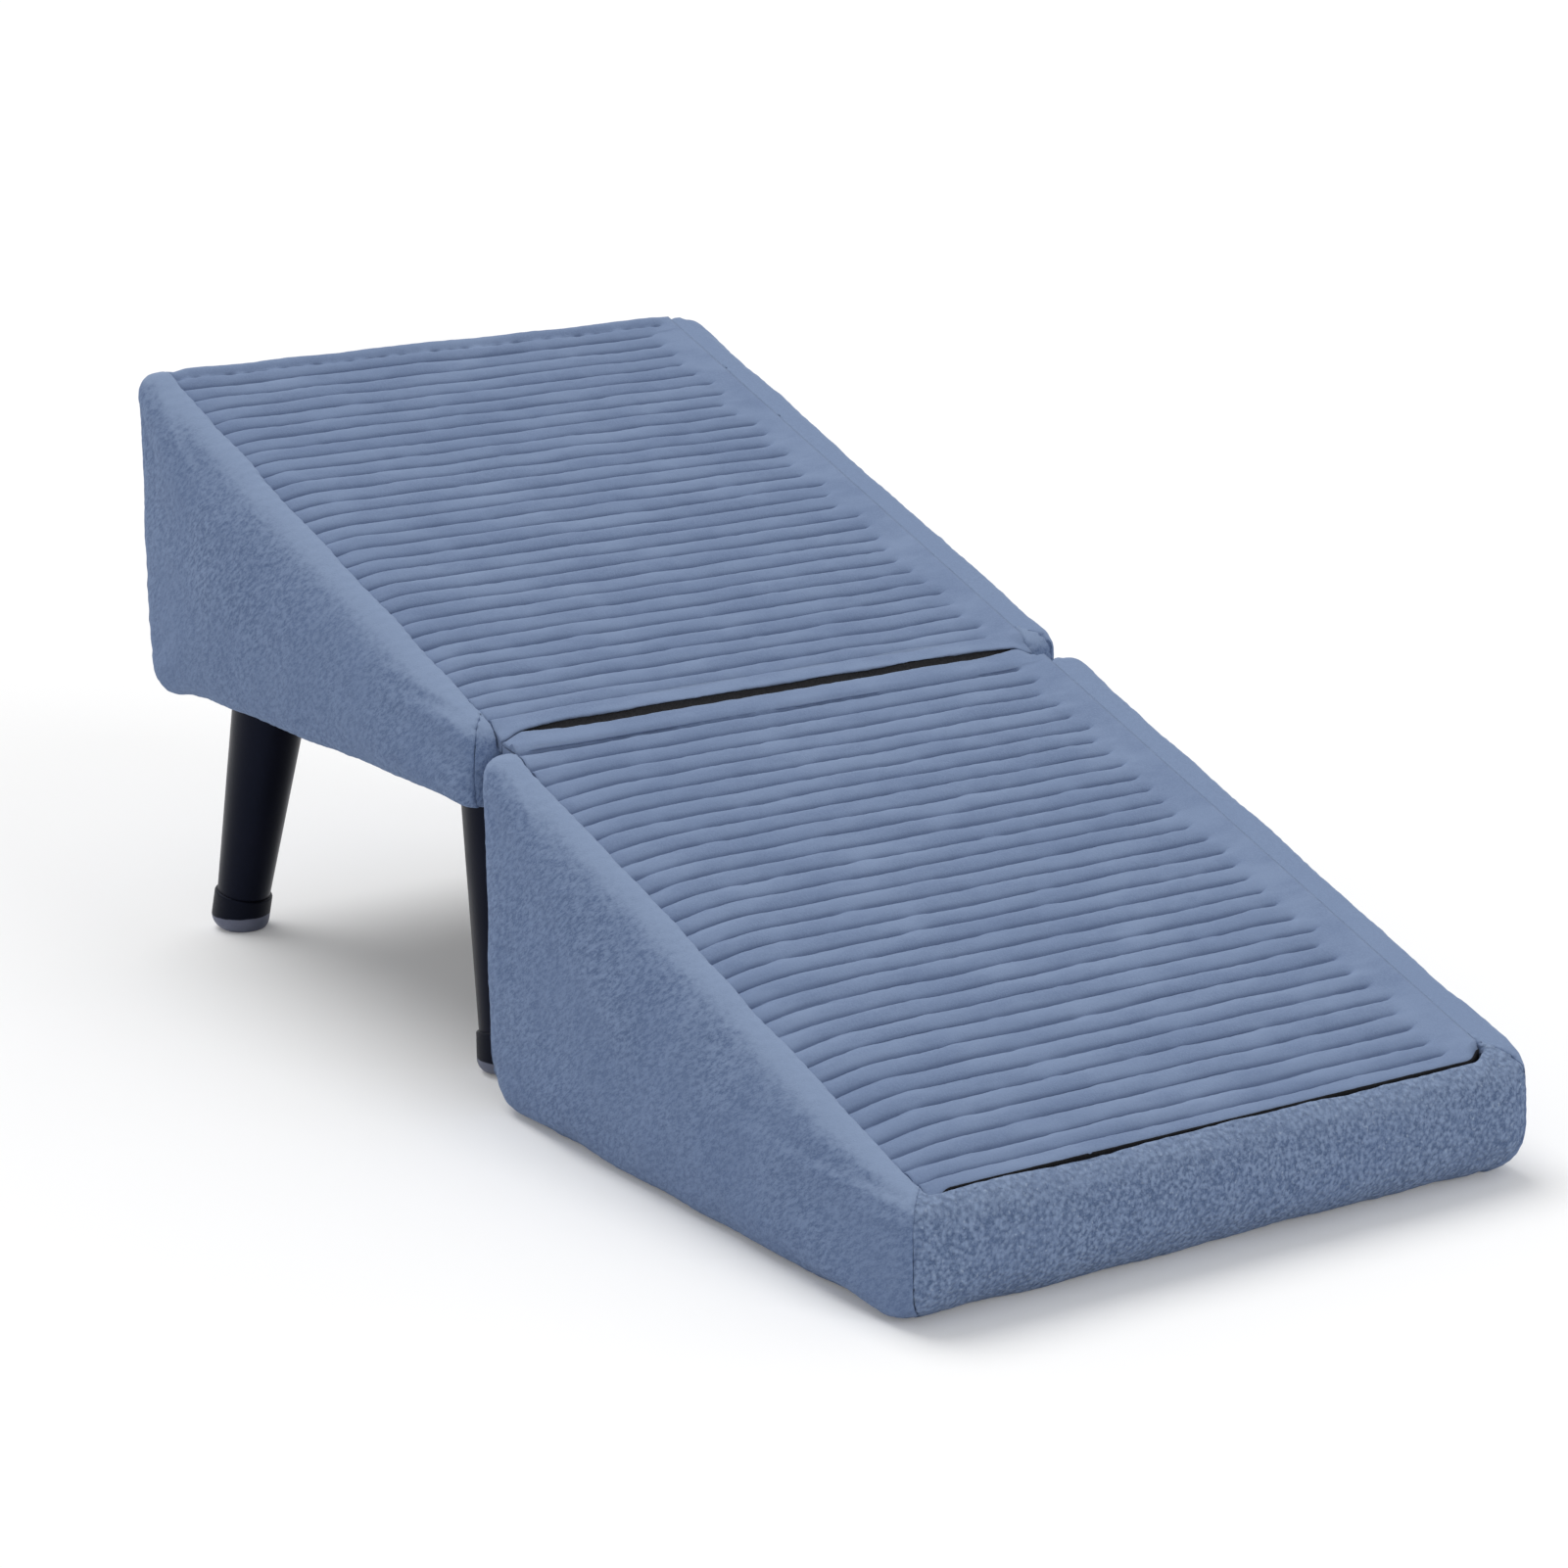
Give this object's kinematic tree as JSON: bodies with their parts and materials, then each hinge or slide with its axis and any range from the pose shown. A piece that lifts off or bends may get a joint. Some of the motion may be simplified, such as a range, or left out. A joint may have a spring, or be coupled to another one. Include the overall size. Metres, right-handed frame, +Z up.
{
  "type": "folding dog ramp",
  "caption": "Padded dog ramp of two fleece wedges with ribbed treads, hinged to fold into a block on splayed black legs.",
  "frame": {"origin": "on the floor, under the middle of the fold between the two wedges, which is the bottom centre of the box", "axes": "+X to the right and +Y up the ramp, from its low lip to its high end; +Z up"},
  "size_m": [0.4, 0.842, 0.3561],
  "materials": {
    "fleece": "short-pile blue-grey fleece over thin padding",
    "ribbed_plush": "blue-grey plush sewn into ribs",
    "foam": "open-cell polyurethane foam",
    "floor_cloth": "non-slip backing cloth with moulded dots",
    "base_cloth": "black spun-bonded lining cloth",
    "board": "plain plywood",
    "leg_paint": "satin black paint",
    "cap_plastic": "moulded dark grey plastic",
    "plated_steel": "zinc plate",
    "black_web": "black woven tape",
    "zip_tape": "woven tape with a nylon coil",
    "zip_metal": "dark plated zinc casting"
  },
  "bodies": {
    "upper_section": {"upper_side_panel_left": "fleece", "upper_side_panel_right": "fleece", "upper_nose_panel": "fleece", "upper_back_panel": "fleece", "upper_tread": "ribbed_plush", "upper_foam_core": "foam", "upper_bottom_cloth": "base_cloth", "upper_base_board": "board", "leg_front_left": "leg_paint", "leg_front_right": "leg_paint", "leg_rear_left": "leg_paint", "leg_rear_right": "leg_paint", "foot_cap_front_left": "cap_plastic", "foot_cap_front_right": "cap_plastic", "foot_cap_rear_left": "cap_plastic", "foot_cap_rear_right": "cap_plastic", "leg_plate_front_left": "plated_steel", "leg_plate_front_right": "plated_steel", "leg_plate_rear_left": "plated_steel", "leg_plate_rear_right": "plated_steel", "leg_bolt_front_left": "plated_steel", "leg_bolt_front_right": "plated_steel", "leg_bolt_rear_left": "plated_steel", "leg_bolt_rear_right": "plated_steel", "leg_plate_screws": "plated_steel", "hinge_tape": "black_web"},
    "lower_section": {"lower_side_panel_left": "fleece", "lower_side_panel_right": "fleece", "lower_front_panel": "fleece", "lower_back_panel": "fleece", "lower_tread": "ribbed_plush", "lower_foam_core": "foam", "lower_bottom_panel": "floor_cloth", "lower_zip_chain": "zip_tape"},
    "zip_slider_body": {"zip_slider": "zip_metal"},
    "zip_pull_body": {"zip_pull": "zip_metal"}
  },
  "joints": [
    {"name": "fold", "type": "hinge", "parent": "upper_section", "child": "lower_section", "pos_m": [0, 0, 0.21393], "axis": [-1, 0, 0], "range_deg": [0, 180], "deforming": ["hinge_tape"]},
    {"name": "zip_slide", "type": "slide", "parent": "lower_section", "child": "zip_slider_body", "axis": [-1, 0, 0], "range_m": [0, 0.239]},
    {"name": "zip_pull_swing", "type": "hinge", "parent": "zip_slider_body", "child": "zip_pull_body", "pos_m": [0.1195, 0.0022, 0.045], "axis": [1, 0, 0], "range_deg": [0, 120]}
  ]
}
